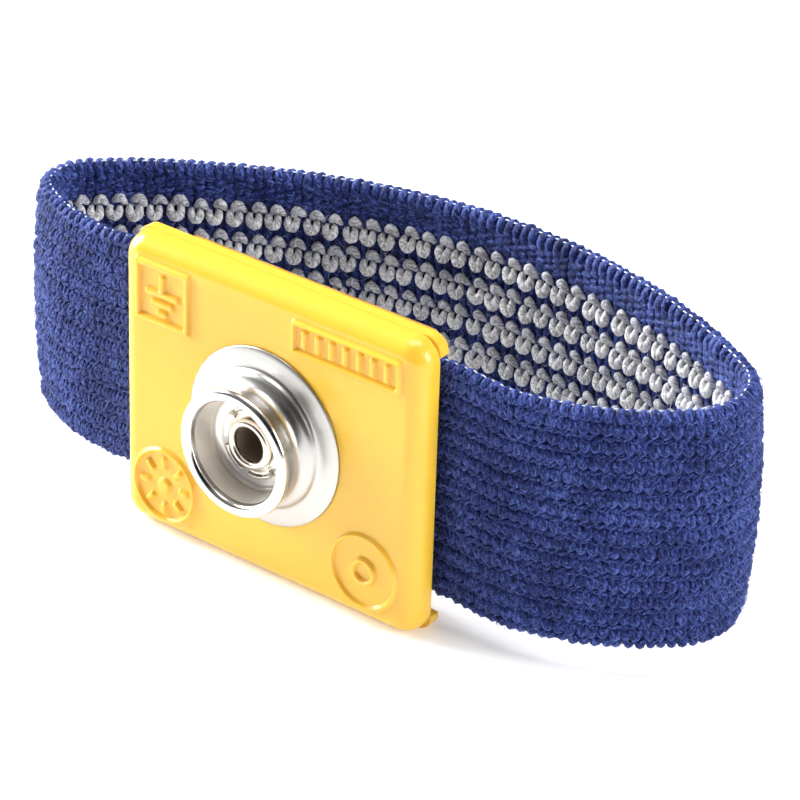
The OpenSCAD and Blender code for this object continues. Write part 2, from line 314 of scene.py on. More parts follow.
def crown(s, z):
    """How far the band bows outwards: most in the left bend, nothing at the buckle."""
    x, y = on_path(s, PATH_XY)
    h = (z / EDGE_Z) ** 2

    def bump(at, reach):
        return np.exp(-(((x - at) / reach) ** 2))

    left = bump(*LEFT_BOW) * (1 - 0.5 * h)
    right = bump(*RIGHT_BOW) * 0.5 * (1 - h)
    back = 0.25 * np.clip((y - BACK_BOW[0]) / BACK_BOW[1], 0, 1) * (1 - h)
    free = np.clip(np.minimum(s, LENGTH - s) / 9 - 0.2, 0, 1)
    return (left + right + back) * free


def lift(s):
    """The loop leans a little: its back sits higher than its front, and the ends stay level in the buckle."""
    y = on_path(s, PATH_XY)[1]
    free = np.clip((np.minimum(s, LENGTH - s) - 1.5) / 6, 0, 1)
    return (LEAN * (y - LEAN_Y) - DROP) * free * free * (3 - 2 * free)


def place(s, t, z):
    """Point at arc length s, depth t below the outer face and height z, all in mm, in the row frame."""
    s = np.clip(s, 0, LENGTH)
    x, y = on_path(s, PATH_XY)
    nx, ny = on_path(s, PATH_N)
    d = t - crown(s, z)
    return row(np.stack([x + nx * d, y + ny * d, z + lift(s)], -1))


def inward(s):
    nx, ny = on_path(np.clip(s, 0, LENGTH), PATH_N)
    return np.stack([nx, ny, 0 * nx], -1)


def lengthwise(s):
    n = inward(s)
    return np.stack([n[..., 1], -n[..., 0], 0 * n[..., 0]], -1)


def wander(shape, step, scale):
    """Smooth random drift along the last axis, one knot every `step` samples."""
    k, m = shape
    knots = rng.normal(0, scale, (k, m // step + 3))
    x = np.arange(m) / step
    i = x.astype(int)
    f = x - i
    f = f * f * (3 - 2 * f)
    return knots[:, i] * (1 - f) + knots[:, i + 1] * f


# ---------------------------------------------------------------- materials

# Yarn: weights of the fine and broad noises, what brings their sum near 0.5, and where the tones lie.
FUZZ, PATCHES, GAIN = 0.55, 0.3, 0.54
TONE_STOPS = (0.43, 0.48, 0.52, 0.575)


def nodes_of(name, sockets):
    """A material with one principled shader; sockets are the values that are the same all over."""
    mat = bpy.data.materials.new(name)
    mat.use_nodes = True
    nt = mat.node_tree
    nt.nodes.clear()
    out = nt.nodes.new("ShaderNodeOutputMaterial")
    bsdf = nt.nodes.new("ShaderNodeBsdfPrincipled")
    for key, value in sockets.items():
        bsdf.inputs[key].default_value = value
    nt.links.new(bsdf.outputs[0], out.inputs[0])
    return mat, nt, bsdf


def node(nt, kind, **values):
    n = nt.nodes.new(kind)
    for key, value in values.items():
        if key in n.inputs:
            n.inputs[key].default_value = value
        else:
            setattr(n, key, value)
    return n


def calc(nt, kind, operation, *operands):
    """A math or vector math node on numbers and sockets."""
    n = node(nt, kind, operation=operation)
    for socket, value in zip(n.inputs, operands):
        if isinstance(value, bpy.types.NodeSocket):
            nt.links.new(value, socket)
        else:
            socket.default_value = value
    return n.outputs["Value" if operation == "DOT_PRODUCT" else 0]


def ramp(nt, source, stops):
    """Colour by a value; stops are (position, colour)."""
    r = nt.nodes.new("ShaderNodeValToRGB")
    e = r.color_ramp.elements
    while len(e) < len(stops):
        e.new(0.5)
    for el, (pos, col) in zip(e, stops):
        el.position = pos
        el.color = (*col, 1)
    nt.links.new(source, r.inputs[0])
    return r.outputs[0]


def noise(nt, vector, scale, detail, rough=0.55):
    n = node(nt, "ShaderNodeTexNoise", Scale=scale, Detail=detail, Roughness=rough)
    nt.links.new(vector, n.inputs["Vector"])
    return n.outputs["Fac"]


def object_noise(nt, scale, detail, rough=0.55):
    """Noise fixed to the object; scale is per metre."""
    return noise(nt, nt.nodes.new("ShaderNodeTexCoord").outputs["Object"], scale, detail, rough)


def bumped(nt, bsdf, height, strength, distance):
    b = node(nt, "ShaderNodeBump", Strength=strength, Distance=distance)
    nt.links.new(height, b.inputs["Height"])
    nt.links.new(b.outputs[0], bsdf.inputs["Normal"])


def yarn_material(name, tones, sheen, sheen_tint, rough, twist, bump, across=5.5, along=1.5):
    """Spun yarn: fine fibres run along the tube and wind slowly round it; u is in mm, v goes round once."""
    mat, nt, bsdf = nodes_of(name, {
        "Roughness": rough,
        "Specular IOR Level": 0.22,
        "Sheen Weight": sheen,
        "Sheen Roughness": 0.38,
        "Sheen Tint": (*sheen_tint, 1),
    })
    uv = node(nt, "ShaderNodeUVMap", uv_map="yarn")
    split = node(nt, "ShaderNodeSeparateXYZ")
    pack = node(nt, "ShaderNodeCombineXYZ")
    nt.links.new(uv.outputs[0], split.inputs[0])
    nt.links.new(split.outputs[0], pack.inputs[0])
    wound = calc(nt, "ShaderNodeMath", "MULTIPLY_ADD", split.outputs[0], twist, split.outputs[1])
    nt.links.new(wound, pack.inputs[1])
    drawn = calc(nt, "ShaderNodeVectorMath", "MULTIPLY", pack.outputs[0], (along, across, 1))
    fibre = noise(nt, drawn, 1.5, 4.0, 0.65)
    fuzz = object_noise(nt, 5200, 3.0, 0.7)
    patch = object_noise(nt, 260, 3.0)
    relief = calc(nt, "ShaderNodeMath", "MULTIPLY_ADD", fuzz, FUZZ, fibre)
    tone = calc(nt, "ShaderNodeMath", "MULTIPLY_ADD", patch, PATCHES, relief)
    tone = calc(nt, "ShaderNodeMath", "MULTIPLY", tone, GAIN)
    # The ramp paints shade into the fibre gaps and highlights onto the fibre tips.
    colour = ramp(nt, tone, list(zip(TONE_STOPS, tones)))
    nt.links.new(colour, bsdf.inputs["Base Color"])
    bumped(nt, bsdf, relief, bump, 0.00015)
    return mat


def speckled(name, scale, dark, light, sockets, strength, distance):
    """Fine speckles in colour and height; dark and light are (position, colour)."""
    mat, nt, bsdf = nodes_of(name, sockets)
    n = object_noise(nt, scale, 2.0)
    nt.links.new(ramp(nt, n, [dark, light]), bsdf.inputs["Base Color"])
    bumped(nt, bsdf, n, strength, distance)
    return mat


def yellow_plastic(name, base, deep):
    """Glossy moulded plastic with faint orange peel, slight depth of colour and fine handling marks."""
    mat, nt, bsdf = nodes_of(name, {
        "IOR": 1.5,
        "Subsurface Weight": 0.35,
        "Subsurface Radius": (1.0, 0.5, 0.08),
        "Subsurface Scale": 0.0009,
    })
    broad = object_noise(nt, 70, 1.0)
    nt.links.new(ramp(nt, broad, [(0.2, deep), (0.8, base)]), bsdf.inputs["Base Color"])
    fine = object_noise(nt, 700, 3.0)
    nt.links.new(ramp(nt, fine, [(0.3, (0.19,) * 3), (0.75, (0.26,) * 3)]), bsdf.inputs["Roughness"])
    bumped(nt, bsdf, object_noise(nt, 500, 1.0), 0.03, 0.00005)
    return mat


def metal(name, light, dark, rough, bump, metallic=1.0, stretch=(1, 1, 1), scale=9000):
    """Plated or brushed metal: fine grain in colour, roughness and height."""
    mat, nt, bsdf = nodes_of(name, {"Metallic": metallic})
    coord = nt.nodes.new("ShaderNodeTexCoord")
    drawn = calc(nt, "ShaderNodeVectorMath", "MULTIPLY", coord.outputs["Object"], stretch)
    grain = noise(nt, drawn, scale, 3.0, 0.6)
    cloud = object_noise(nt, 160, 2.0)
    nt.links.new(ramp(nt, cloud, [(0.3, dark), (0.7, light)]), bsdf.inputs["Base Color"])
    gloss = ramp(nt, grain, [(0.3, (rough[0],) * 3), (0.7, (rough[1],) * 3)])
    nt.links.new(gloss, bsdf.inputs["Roughness"])
    bumped(nt, bsdf, grain, bump, 0.00001)
    return mat


# Yarn tones follow random fibre noise: the darkest is painted shade in the gaps between fibres, the lightest
# a painted highlight on the fibre tips.
BLUE_TONES = ((0.0035, 0.0068, 0.047), (0.0095, 0.0205, 0.124), (0.0245, 0.0475, 0.245), (0.1, 0.15, 0.47))
FIBRE_TONES = ((0.02, 0.033, 0.17), (0.05, 0.075, 0.32), (0.1, 0.14, 0.46), (0.3, 0.36, 0.7))
SHADE_TONES = ((0.22, 0.22, 0.24), (0.42, 0.42, 0.45), (0.6, 0.6, 0.64), (0.8, 0.8, 0.84))
SILVER_TONES = ((0.3, 0.3, 0.31), (0.54, 0.54, 0.55), (0.76, 0.76, 0.77), (0.92, 0.92, 0.93))
COOL = (0.95, 0.95, 1.0)
BLUE = yarn_material("blue_yarn", BLUE_TONES, 0.48, (0.28, 0.42, 1.0), 0.55, 0.5, 1.0)
FIBRE = yarn_material("blue_fibre", FIBRE_TONES, 0.1, (0.5, 0.6, 1.0), 0.5, 0.5, 0.2)
# The caps get a darker copy of the conductive yarn: painted shade where the yarn dives into the fabric.
SILVER_SHADE = yarn_material("conductive_yarn_shaded", SHADE_TONES, 0.2, COOL, 0.6, 0.7, 0.8, 6.0, 1.2)
SILVER = yarn_material("conductive_yarn", SILVER_TONES, 0.2, COOL, 0.55, 0.7, 0.6, 6.0, 1.2)
# The ground: the fabric's body behind the yarns, darker than the yarn as painted shade in the gaps between
# them.
GROUND = speckled(
    "knit_ground", 2600, (0.35, (0.006, 0.01, 0.06)), (0.65, (0.024, 0.036, 0.18)),
    {"Roughness": 0.95}, 0.5, 0.0001,
)
# The clear yarn is drawn opaque and pale white-blue: painted glints, with real gloss from the coat.
CLEAR = speckled(
    "clear_edge_yarn", 1500, (0.3, (0.5, 0.56, 0.74)), (0.7, (0.78, 0.83, 0.97)),
    {"Roughness": 0.18, "Coat Weight": 0.6, "Coat Roughness": 0.08}, 0.15, 0.00005,
)
ELASTIC = speckled(
    "covered_elastic", 3000, (0.3, (0.55, 0.55, 0.52)), (0.7, (0.8, 0.8, 0.77)),
    {"Roughness": 0.7}, 0.4, 0.0001,
)
YELLOW = yellow_plastic("yellow_plastic", (0.87, 0.525, 0.05), (0.85, 0.51, 0.045))
YELLOW_REAR = yellow_plastic("yellow_plastic_rear", (0.87, 0.52, 0.05), (0.85, 0.505, 0.045))
# The stud's one plating in three brightnesses, painted light and shade: the flange darker, the rim and the
# cup lighter; the rim is also glossier and the cup more satin.
NICKEL = metal("nickel_plate", (0.5, 0.49, 0.475), (0.49, 0.48, 0.465), (0.28, 0.32), 0.01)
NICKEL_CUP = metal("nickel_plate_cup", (0.92, 0.88, 0.835), (0.9, 0.865, 0.82), (0.42, 0.47), 0.01)
NICKEL_RIM_GLOSS_AND_LIGHT = metal("nickel_plate_rim", (0.61, 0.595, 0.58), (0.6, 0.585, 0.57), (0.17, 0.21), 0.02)
NICKEL_WARM = metal("rivet_nickel", (0.76, 0.7, 0.6), (0.72, 0.66, 0.56), (0.22, 0.28), 0.03)
BORE = metal("rivet_bore", (0.3, 0.23, 0.18), (0.24, 0.18, 0.14), (0.5, 0.65), 0.1, 0.2)
STEEL = metal(
    "skin_plate_steel", (0.7, 0.7, 0.71), (0.6, 0.6, 0.61), (0.2, 0.42), 0.35,
    stretch=(1, 25, 25), scale=400,
)

# ---------------------------------------------------------------- the knit

# In this section positions along the band, heights, depths and radii are in millimetres.
N_STITCH = int(LENGTH / STITCH)
MAIN_Z = (np.arange(13) - 6) * ROW  # rows of plump stitches
ROPE_Z = np.append(MAIN_Z - 0.72, MAIN_Z[-1] + 0.64)  # the twist between them
SILVER_Z = (np.arange(5) - 2) * 2 * ROW  # rows of conductive yarn
TURN_OVER, MARGIN_Z = 8.35, 6.3  # heights where a rib bends over the edge, and where the silver rows end
TWIST_LENGTH = 0.92  # one turn of a rib's twist between the silver rows


def banded(ob, *replaced):
    """A knit piece, which runs from the buckle round the back of the band: its transform is baked in and the
    CAD nodes it replaces are hidden.
    """
    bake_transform(ob)
    if replaced:
        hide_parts(*replaced)


def plump_rows():
    """Stitches of the outer face: plump loops whose feet hang out as scallops and whose heads sink in."""
    # One stitch: along, up, depth and radius.
    loop = np.array([
        (-0.2, 0.52, 0.58, 0.19), (-0.21, 0.29, 0.33, 0.245), (-0.2, 0.04, 0.22, 0.275),
        (-0.12, -0.17, 0.17, 0.27), (0.0, -0.27, 0.15, 0.25), (0.12, -0.17, 0.17, 0.27),
        (0.2, 0.04, 0.22, 0.275), (0.21, 0.29, 0.33, 0.245), (0.2, 0.52, 0.58, 0.19),
    ])
    k, n, per = len(MAIN_Z), N_STITCH, len(loop)
    size = 1 + rng.normal(0, 0.07, (k, n, 1))
    lean = rng.normal(0, 0.16, (k, n, 1))
    ds = loop[:, 0] * size + lean * loop[:, 1]
    dz = loop[:, 1] * (1 + rng.normal(0, 0.08, (k, n, 1))) + rng.normal(0, 0.035, (k, n, 1))
    t = loop[:, 2] + rng.normal(0, 0.025, (k, n, 1)) + rng.normal(0, 0.015, (k, n, per))
    r = loop[:, 3] * (1 + rng.normal(0, 0.07, (k, n, per)))
    phase = rng.uniform(0, STITCH, (k, 1, 1))
    s = np.arange(n)[None, :, None] * STITCH + phase + ds + rng.normal(0, 0.045, (k, n, 1))
    z = MAIN_Z[:, None, None] + dz + 0.05 * wander((k, n), 9, 1.0)[..., None]
    s, z, t, r = (a.reshape(k, n * per) for a in (s, z, t, r))
    return tubes(place(s, t, z), r * MM, inward(s), 6)


def twisted_rows():
    """Between the stitches: a two-strand twist that lies a little deeper."""
    parts = []
    k, per = len(ROPE_Z), 7
    m = N_STITCH * per + 1
    q = np.broadcast_to(np.arange(m) / per, (k, m))
    drift = 0.9 * wander((k, m), per * 2, 1.0) + rng.uniform(0, TAU, (k, 1))
    sway = 0.05 * wander((k, m), per, 1.0) + 0.035 * wander((k, m), per * 8, 1.0)
    deep = 0.03 * wander((k, m), per * 2, 1.0)
    for turn, swing, under in ((0, 0.17, 0.0), (2.2, 0.1, 0.05)):
        a = TAU * q + drift + turn
        s = q * STITCH + 0.1 * np.sin(a + 1)
        swing = swing * (1 + 0.25 * wander((k, m), per, 1.0))
        z = ROPE_Z[:, None] + swing * (np.cos(a) + 0.3 * np.cos(2 * a)) + sway
        t = 0.3 + under + 0.08 * np.sin(a) + deep
        r = 0.16 * (1 + 0.16 * wander((k, m), per - 3, 1.0))
        parts.append(tubes(place(s, t, z), np.clip(r, 0.11, 0.22) * MM, inward(s), 5))
    return parts


def ribs(first):
    """Every other yarn of the inner face: it wraps over both edges and dives into the outer face."""
    # The way over one edge: depth, height and radius.
    over = np.array([
        (0.85, 8.35, 0.2), (0.64, 8.56, 0.26), (0.45, 8.8, 0.31), (0.38, 9.0, 0.35), (0.47, 9.14, 0.38),
        (0.68, 9.2, 0.385), (0.92, 9.1, 0.385), (1.03, 8.88, 0.38), (1.06, 8.62, 0.38),
    ])
    fine = np.arange(TURN_OVER, 6.35, -0.16)  # the margins beside the silver rows need more points
    inner_z = np.concatenate([fine, np.linspace(6.2, -6.2, 42), -fine[::-1]])
    wide = 0.31 + 0.07 * np.clip((np.abs(inner_z) - MARGIN_Z) / 0.5, 0, 1)
    flat = np.stack([np.full(len(inner_z), 1.06), inner_z, wide], 1)
    path = np.concatenate([over, flat, over[::-1] * (1, -1, 1)])
    places = np.arange(first, N_STITCH, 2)
    k, m = len(places), len(path)
    zz = np.broadcast_to(path[:, 1], (k, m)) + wander((k, m), 5, 0.03)
    edge = np.clip((np.abs(zz) - 8.2) / 0.9, 0, 1)
    margin = np.clip((np.abs(zz) - MARGIN_Z) / 0.5, 0, 1) * (1 - edge)
    tighter = 0.62 * np.sign(zz) * np.clip(np.abs(zz) - 6.4, 0, 2)
    turn = TAU * (zz / TWIST_LENGTH + tighter) + math.pi * first + wander((k, m), 6, 0.5)
    tt = path[:, 0] + (0.03 + 0.03 * margin) * np.cos(turn) * (1 - edge) + wander((k, m), 2, 0.025)
    centre = (places + 0.5) * STITCH + rng.normal(0, 0.035, k)
    swing = (0.07 + 0.12 * margin) * np.sin(turn) * (1 - edge)
    s = centre[:, None] + swing + wander((k, m), 3, 0.05) + 0.32 * (tt - 0.7) * edge
    r = path[:, 2] * (1 + wander((k, m), 2, 0.06) + 0.07 * margin * np.cos(turn))
    return tubes(place(s, tt, zz), r * MM, lengthwise(s), 8, 1 + 0.45 * margin)


def silver_loops():
    """Conductive yarn: fat horseshoe stitches and, above and beside each, a cap where the yarn dives in."""
    units = int(LENGTH / (2 * STITCH))
    s0 = (np.arange(units) + 0.5) * 2 * STITCH
    s0, z0 = (a.ravel() for a in np.meshgrid(s0, SILVER_Z))
    k = len(s0)
    s0 = s0 + rng.normal(0, 0.05, k)
    z0 = z0 - 0.36 + rng.normal(0, 0.045, k)
    size = 1.07 + rng.normal(0, 0.045, k)
    # Along, up, out of the inner face, and radius.
    shoe = np.array([
        (-0.2, 0.66, -0.30, 0.14), (-0.3, 0.53, -0.02, 0.22), (-0.35, 0.31, 0.10, 0.285),
        (-0.31, 0.07, 0.17, 0.34), (-0.21, -0.1, 0.2, 0.385), (-0.07, -0.18, 0.22, 0.41),
        (0.07, -0.18, 0.22, 0.41), (0.21, -0.1, 0.2, 0.385), (0.31, 0.07, 0.17, 0.34),
        (0.35, 0.31, 0.10, 0.285), (0.3, 0.53, -0.02, 0.22), (0.2, 0.66, -0.30, 0.14),
    ])
    cap = np.array([
        (-0.46, -0.38, -0.22, 0.15), (-0.36, -0.2, 0.0, 0.25), (-0.18, 0.04, 0.13, 0.33),
        (0.0, 0.19, 0.16, 0.34), (0.18, 0.02, 0.14, 0.33), (0.36, -0.2, 0.07, 0.26),
        (0.47, -0.36, -0.03, 0.19), (0.53, -0.46, -0.22, 0.13),
    ])
    parts = []
    for shape, ds, dz in ((shoe, 0.0, 0.0), (cap, -0.4, 1.16)):
        fine = resample(shape, 2 * len(shape) - 3)
        jig = rng.normal(0, 0.035, (k, 1, 3))
        lean = rng.normal(0, 0.1, (k, 1))
        wide = 1 + rng.normal(0, 0.06, (k, 1))
        a = -fine[None, :, 0] * size[:, None] * wide
        b = fine[None, :, 1] * size[:, None]
        s = s0[:, None] + ds + a + lean * b + jig[..., 0]
        z = z0[:, None] + dz + b - lean * a + jig[..., 1]
        t = BAND_T + 0.04 + fine[None, :, 2] + 0.5 * jig[..., 2] + rng.normal(0, 0.012, s.shape)
        r = fine[None, :, 3] * size[:, None] * (1 + rng.normal(0, 0.05, s.shape))
        parts.append(tubes(place(s, t, z), r * MM, inward(s), 10, 0.74))
    return parts


def hairs(count, t_lo, t_hi, z_max, length, radius):
    """Loose fibre ends that stand off a yarn surface in every direction."""
    m = 5
    along = np.linspace(0, 1, m)
    s = rng.uniform(1, LENGTH - 1, (count, 1)) + np.zeros((1, m))
    z = rng.uniform(-z_max, z_max, (count, 1)) + np.zeros((1, m))
    t = rng.uniform(t_lo, t_hi, (count, 1)) + np.zeros((1, m))
    out = -1.0 if t_hi < 0.6 else 1.0
    reach = rng.uniform(*length, (count, 1)) * along
    heading = rng.uniform(0, TAU, (count, 1)) + rng.normal(0, 0.9, (count, 1)) * along
    rise = np.abs(rng.normal(0, 0.35, (count, 1)))
    arch = np.sin(math.pi * along * rng.uniform(0.4, 1.0, (count, 1)))
    s = s + reach * np.cos(heading)
    z = z + reach * np.sin(heading)
    t = t + out * (0.16 * arch + rise * reach * 0.6)
    t = np.where(np.abs(z) > 9.2, 0.7 + 0.4 * (t - 0.7), t)  # over the edges, hairs keep to the middle
    r = radius * np.linspace(1, 0.5, m) * np.ones((count, 1))
    return tubes(place(s, t, np.clip(z, -9.75, 9.75)), r * MM, inward(s), 3)


def edge_filament(side):
    """Clear yarn that runs along an edge under the wraps; its pale colour is a painted glint in every gap,
    over the real gloss of its coat.
    """
    m = N_STITCH * 6 + 1
    q = np.arange(m)[None, :] / 6
    z = side * (9.35 + 0.05 * np.cos(TAU * q) + wander((1, m), 6, 0.025))
    t = 0.8 + 0.03 * np.cos(TAU * q) + wander((1, m), 6, 0.02)
    s = q * STITCH
    return tubes(place(s, t, z), np.full((1, m), 0.07) * MM, inward(s), 6)


def ground_shell():
    """The knit's ground behind the yarns: a closed flat tube that holds the elastic threads; its dark navy is
    painted shade between the yarns.
    """
    across = np.linspace(-8.7, 8.7, 15)
    section = [(0.3, z) for z in across] + [(0.45, 9.05), (0.75, 9.15), (1.0, 9.0)]
    section += [(1.15, z) for z in across[::-1]] + [(1.0, -9.0), (0.75, -9.15), (0.45, -9.05)]
    depth, height = np.array(section).T
    s = np.linspace(0.1, LENGTH - 0.1, 280)
    verts, quads, tris = ring_mesh(place(s[:, None], depth, height), False)
    return verts, np.roll(quads[:, ::-1], 1, axis=1), tris[:, ::-1]


def elastic_threads():
    z0 = np.array([-8.3, -6.8, -4.08, -1.36, 1.36, 4.08, 6.8, 8.3])
    shape = (len(z0), 360)
    s = np.broadcast_to(np.linspace(0.3, LENGTH - 0.3, shape[1]), shape)
    return tubes(place(s, np.full(shape, 0.75), z0[:, None] + 0 * s), np.full(shape, 0.22) * MM, inward(s), 8)


def part_rows(name, batch, rows, cut):
    """One batch of equal tubes as two objects, the first `cut` rows and the rest."""
    v, q, t, uv = batch
    nq, nt = len(q) // rows, len(t) // rows // 2
    for part, lo, hi in (("lower", 0, cut), ("upper", cut, rows)):
        ti = np.r_[lo * nt : hi * nt, rows * nt + lo * nt : rows * nt + hi * nt]
        quads, tris = q[lo * nq : hi * nq], t[ti]
        keep = np.unique(np.concatenate([quads.ravel(), tris.ravel()]))
        index = np.zeros(len(v), int)
        index[keep] = np.arange(len(keep))
        corners = np.concatenate([uv[lo * nq * 4 : hi * nq * 4], np.zeros((len(ti) * 3, 2))])
        banded(make_object(name + "_" + part, v[keep], index[quads], index[tris], corners, BLUE))


def knit():
    part_rows("knit_face_loops", plump_rows(), len(MAIN_Z), 7)
    for name, strand in zip("ab", twisted_rows()):
        banded(make_object("knit_face_twist_" + name, *strand, BLUE))
    for first, name in enumerate("ab"):
        banded(make_object("knit_edge_and_inner_yarns_" + name, *ribs(first), BLUE))
    shoes, caps = silver_loops()
    banded(make_object("conductive_loops", *shoes, SILVER), "yarn_side_left", "yarn_side_right", "yarn_back")
    # The caps wear the darker copy of the silver yarn, as painted shade.
    banded(make_object("conductive_caps", *caps, SILVER_SHADE))
    banded(
        make_object("knit_ground", *ground_shell(), None, GROUND),
        "band_side_left", "band_side_right", "band_back",
    )
    banded(
        make_object("elastic_threads", *elastic_threads(), ELASTIC),
        "elastic_side_left", "elastic_side_right", "elastic_back",
    )
    for side, where in ((1, "top"), (-1, "bottom")):
        nodes = ["edge_%s_%s" % (where, part) for part in ("left", "right", "back")]
        banded(make_object("clear_yarn_" + where, *edge_filament(side), CLEAR), *nodes)
    # Fuzz: how many, least and most depth, greatest height, least and most length, radius.
    for name, fuzz, material in (
        ("loose_blue_fibres_outer", (5200, -0.02, 0.1, 9.5, (0.25, 0.8), 0.017), FIBRE),
        ("lint_blue_outer", (6400, -0.02, 0.14, 9.4, (0.12, 0.34), 0.02), FIBRE),
        ("loose_blue_fibres_inner", (3200, 1.36, 1.5, 9.5, (0.25, 0.7), 0.016), FIBRE),
        ("loose_silver_fibres", (1600, 1.65, 1.85, 6.6, (0.25, 0.7), 0.014), SILVER),
    ):
        banded(make_object(name, *hairs(*fuzz), material))


# ---------------------------------------------------------------- the buckle

# In this section, too, numbers are in buckle millimetres.
STUD_R, STUD_H = 5.0, 3.75
SHANK_R, BORE_R = 1.7, 1.35  # of the rivet
PLATE_W, PLATE_H, PLATE_Y = 25, 18.8, (4.75, 5.15)
PETALS, FIRST_CUT, CUT_R = 6, 15, 2.6  # the lock washer's cuts: how many, first angle, radius
MARK_H = 0.3
FLANK = 0.11  # half the width of a raised mark's sloping side
EARTH, PANEL, DIAL, DOT = (-9.85, 8), (7.4, 9.1), (-9.7, -7.8), (9.5, -7.6)  # where the marks are
FINE, COARSE = 0.065, 0.45  # grid steps on the cover's face, under the marks and elsewhere


def arc(cx, cy, r, a0, a1, n):
    a = np.radians(np.linspace(a0, a1, n))
    return [(cx + r * math.cos(b), cy + r * math.sin(b)) for b in a]


def solid(name, shells, material, node):
    """A piece on the buckle, from one or more closed shells in buckle millimetres, that replaces a node."""
    verts, quads, tris, n = [], [], [], 0
    for v, q, t in shells:
        verts.append(row(v))
        quads.append(q + n)
        tris.append(t + n)
        n += len(v)
    ob = make_object(name, np.concatenate(verts), np.concatenate(quads), np.concatenate(tris), None, material)
    bm = bmesh.new()
    bm.from_mesh(ob.data)
    bmesh.ops.remove_doubles(bm, verts=bm.verts, dist=1e-7)
    bmesh.ops.recalc_face_normals(bm, faces=bm.faces)
    bm.to_mesh(ob.data)
    bm.free()
    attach(ob, "buckle")
    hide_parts(node)
    return ob


def level(outline, y):
    """A ring at depth y from an outline in x and z."""
    return np.insert(outline, 1, y, axis=1)


def circle(r, y, n):
    a = TAU * np.arange(n) / n
    return np.stack([r * np.cos(a), np.full(n, y), r * np.sin(a)], 1)


def turned(profile, n=144):
    """A closed (radius, height) profile turned about the stud's axis; height runs forwards."""
    return ring_mesh([circle(r, -h, n) for r, h in profile], True)


def rounded_rect(w, h, r, step=1.2):
    """Outline of a rounded rectangle, anticlockwise."""
    pts = []
    for k, (sx, sz) in enumerate(((1, 1), (-1, 1), (-1, -1), (1, -1))):
        a = np.radians(np.linspace(90 * k, 90 * k + 90, 8))
        cx, cz = sx * (w / 2 - r), sz * (h / 2 - r)
        corner = np.stack([cx + r * np.cos(a), cz + r * np.sin(a)], 1)
        pts.append(corner)
        nx, nz = ((-1, 1), (-1, -1), (1, -1), (1, 1))[k]
        b = np.radians(90 * k + 90)
        nxt = np.array([nx * (w / 2 - r) + r * np.cos(b), nz * (h / 2 - r) + r * np.sin(b)])
        m = max(1, int(np.linalg.norm(nxt - corner[-1]) / step))
        f = (np.arange(1, m) / m)[:, None]
        pts.append(corner[-1] * (1 - f) + nxt * f)
    return np.concatenate(pts)


def inset(outline, d):
    """The outline moved inwards by d with mitred corners."""
    nxt = unit(np.roll(outline, -1, 0) - outline)
    n1 = np.stack([-nxt[:, 1], nxt[:, 0]], 1)
    n0 = np.roll(n1, 1, 0)
    return outline + d * (n0 + n1) / (1 + (n0 * n1).sum(1, keepdims=True))


def slab(outline, levels):
    """A plate from an outline in x and z; levels are (y, inset) from front to back."""
    return ring_mesh([level(inset(outline, d), y) for y, d in levels], False)


def eased(y0, y1, front, back):
    """Levels of a plate whose front and back edges are rounded by the two radii."""
    rising = np.linspace(0, math.pi / 2, 5)
    out = [(y0, front + 0.06)]
    out += [(y0 + front * (1 - math.sin(a)), front * (1 - math.cos(a))) for a in rising[::-1]]
    out += [(y0 + front + 0.05, 0), (y1 - back - 0.05, 0)]
    out += [(y1 - back * (1 - math.sin(a)), back * (1 - math.cos(a))) for a in rising]
    return out + [(y1, back + 0.06)]


def line_height(d, half):
    """Raised line: full height within half of its middle, with rounded flanks."""
    x = np.clip((half + FLANK - d) / (2 * FLANK), 0, 1)
    return x * x * (3 - 2 * x)


def box_distance(x, z, cx, cz, w, h, r):
    """Signed distance to a rounded box outline."""
    qx, qz = np.abs(x - cx) - w / 2 + r, np.abs(z - cz) - h / 2 + r
    return np.hypot(np.maximum(qx, 0), np.maximum(qz, 0)) + np.minimum(np.maximum(qx, qz), 0) - r


def mark_height(x, z):
    """Raised marks on the cover's face: an earth sign, a ribbed panel, a dial and a double ring."""

    def ring(centre, r, w):
        return line_height(np.abs(np.hypot(x - centre[0], z - centre[1]) - r + w / 2), w / 2)

    def frame_line(centre, w, h, t):
        return line_height(np.abs(box_distance(x, z, *centre, w, h, 0.12) + t / 2), t / 2)

    def bar(cx, cz, w, h):
        return line_height(box_distance(x, z, cx, cz, w, h, 0.12), 0)

    dx, dz = x - DIAL[0], z - DIAL[1]
    raised = [frame_line(EARTH, 5.2, 4.9, 0.45), frame_line(PANEL, 9.8, 2.5, 0.3)]
    for z0, w, h in ((8.9, 0.5, 1.4), (8.1, 3.2, 0.5), (7.3, 2.1, 0.5), (6.5, 1.0, 0.5)):
        raised.append(bar(EARTH[0], z0, w, h))
    raised += [bar(PANEL[0] + 1.25 * i, PANEL[1], 0.5, 1.4) for i in range(-3, 4)]
    raised += [ring(DIAL, 3.05, 0.3), line_height(np.hypot(dx, dz), 0.6)]
    for a in TAU * np.arange(8) / 8:
        u = dx * math.cos(a) + dz * math.sin(a)
        v = -dx * math.sin(a) + dz * math.cos(a)
        raised.append(line_height(box_distance(u, v, 1.9, 0, 0.9, 0.45, 0.1), 0))
    raised += [ring(DOT, 3.0, 0.22), ring(DOT, 1.1, 0.4)]
    return MARK_H * np.maximum.reduce(raised)


def face_lines(limit, spans):
    """Grid lines from -limit to limit, finer inside the spans."""
    out, at = [], -limit
    for lo, hi in spans:
        out += list(np.arange(at, lo - 0.2, COARSE)) + list(np.arange(lo, hi, FINE))
        at = hi
    out += list(np.arange(at, limit - 0.2, COARSE)) + [limit]
    return np.array(out)


